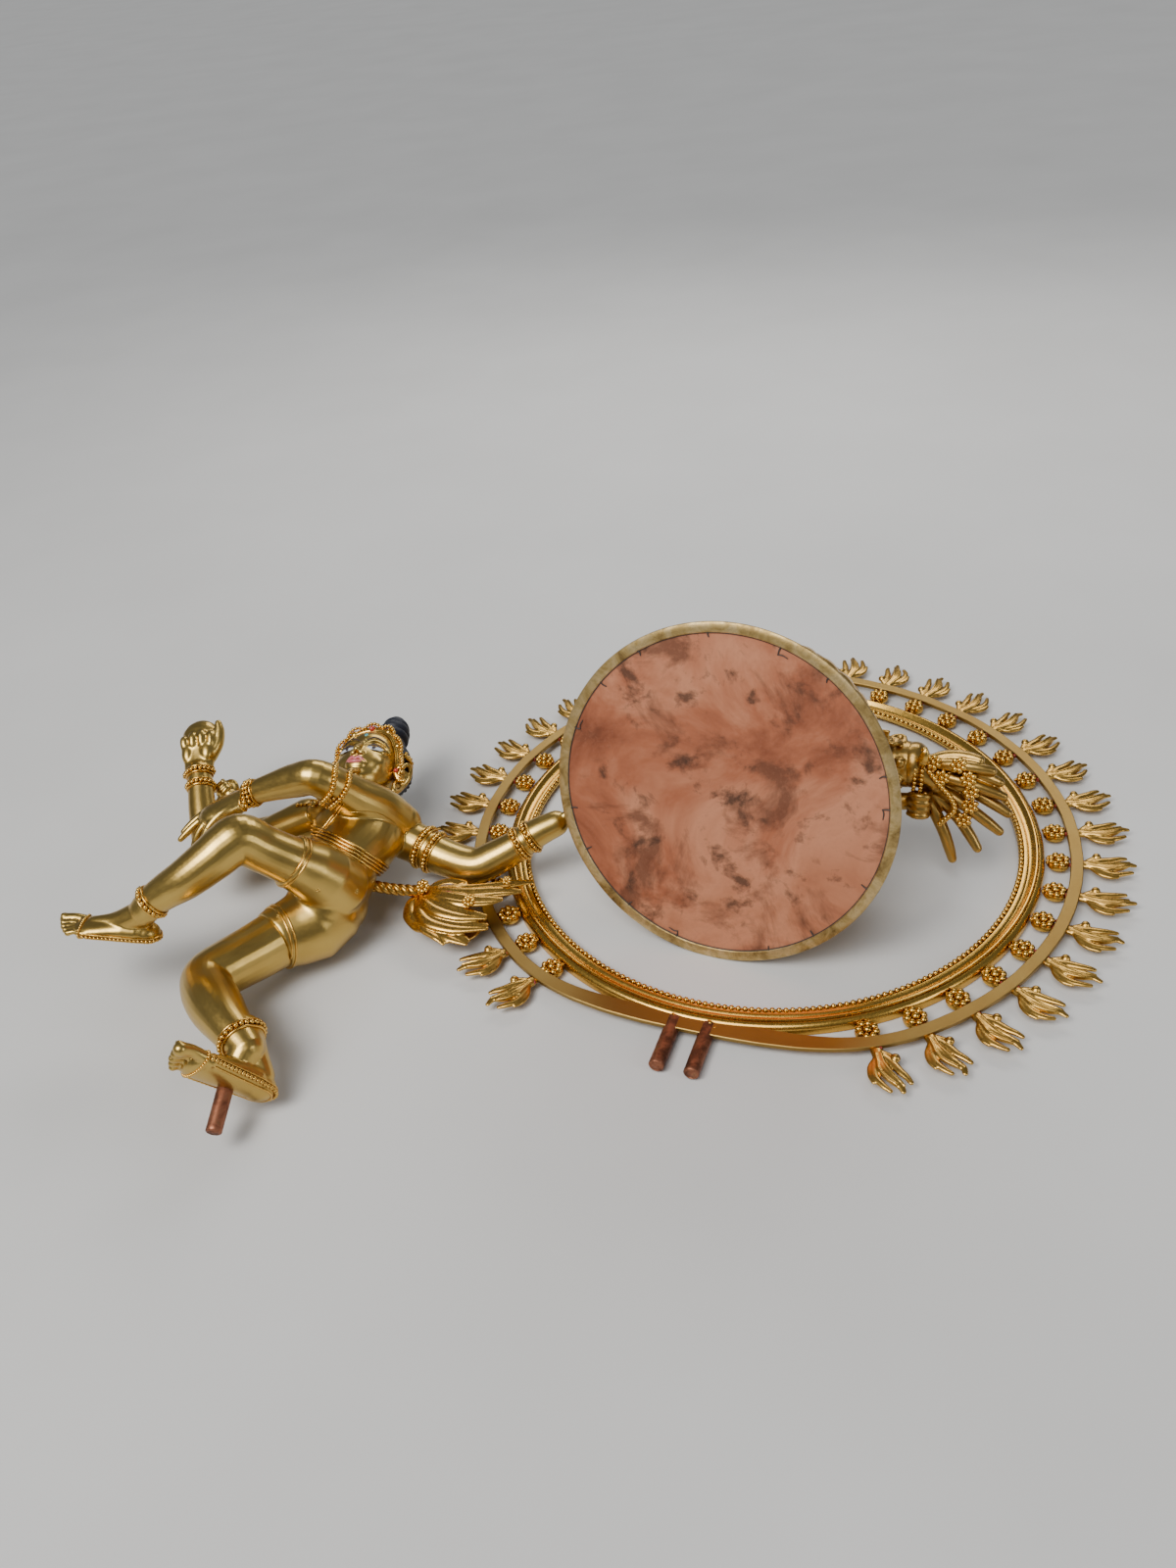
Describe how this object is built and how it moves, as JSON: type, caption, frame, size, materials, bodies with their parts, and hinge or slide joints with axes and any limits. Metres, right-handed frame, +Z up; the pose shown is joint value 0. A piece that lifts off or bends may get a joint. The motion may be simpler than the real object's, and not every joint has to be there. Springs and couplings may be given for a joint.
{
  "type": "nataraja statue",
  "caption": "Gilt brass dancing figure, flame ring and lotus pedestal, laid out apart, with spigots and pins that plug them together.",
  "frame": {"origin": "middle of the laid-out statue's box, on the floor", "axes": "+Z up; +X along the layout's length, from the figure to the ring; +Y away from the viewer, towards the figure's head"},
  "size_m": [0.9808, 0.6724, 0.2892],
  "materials": {
    "ring_gilt": "burnished gilding",
    "flame_gilt": "satin gilding",
    "hoop_gilt": "worn gilding",
    "pin_copper": "bare red copper rod",
    "rim_brass": "aged bare brass",
    "plate_copper": "mottled copper sheet",
    "lotus_gilt": "satin gilding",
    "dwarf_gilt": "satin gilding",
    "figure_gilt": "burnished gilding",
    "jewel_gilt": "chased gilding",
    "sash_gilt": "satin gilding",
    "hair_paint": "dark blue-black paint"
  },
  "bodies": {
    "flame_ring": {"inner_ring": "ring_gilt", "bead_ring": "ring_gilt", "outer_hoop": "hoop_gilt", "ring_pin_left": "pin_copper", "ring_pin_right": "pin_copper", "flame_01": "flame_gilt", "flame_02": "flame_gilt", "flame_03": "flame_gilt", "flame_04": "flame_gilt", "flame_05": "flame_gilt", "flame_06": "flame_gilt", "flame_07": "flame_gilt", "flame_08": "flame_gilt", "flame_09": "flame_gilt", "flame_10": "flame_gilt", "flame_11": "flame_gilt", "flame_12": "flame_gilt", "flame_13": "flame_gilt", "flame_14": "flame_gilt", "flame_15": "flame_gilt", "flame_16": "flame_gilt", "flame_17": "flame_gilt", "flame_18": "flame_gilt", "flame_19": "flame_gilt", "flame_20": "flame_gilt", "flame_21": "flame_gilt", "flame_22": "flame_gilt", "flame_23": "flame_gilt", "flame_24": "flame_gilt", "flame_25": "flame_gilt", "flame_26": "flame_gilt", "flame_27": "flame_gilt", "flame_28": "flame_gilt", "flame_29": "flame_gilt", "flame_30": "flame_gilt", "flame_31": "flame_gilt", "flame_32": "flame_gilt", "flame_33": "flame_gilt", "flame_34": "flame_gilt"},
    "pedestal": {"base_rim": "rim_brass", "copper_plate": "plate_copper", "lotus_base": "lotus_gilt", "lotus_deck": "lotus_gilt", "dwarf_body": "dwarf_gilt", "dwarf_head": "dwarf_gilt", "dwarf_hair": "dwarf_gilt"},
    "figure": {"torso": "figure_gilt", "dhoti": "figure_gilt", "head": "figure_gilt", "diadem": "jewel_gilt", "topknot": "hair_paint", "standing_leg": "figure_gilt", "raised_leg": "figure_gilt", "foot_spigot": "pin_copper", "front_left_arm": "figure_gilt", "rear_left_arm": "figure_gilt", "front_right_arm": "figure_gilt", "rear_right_arm": "figure_gilt", "sash_cord": "sash_gilt", "sash_fan": "sash_gilt"}
  },
  "joints": [
    {"name": "pedestal_lift", "type": "slide", "parent": "flame_ring", "child": "pedestal", "axis": [0, 0, 1], "range_m": [0, 0.4]},
    {"name": "figure_lift", "type": "slide", "parent": "flame_ring", "child": "figure", "axis": [0, 0, 1], "range_m": [0, 0.35]}
  ]
}
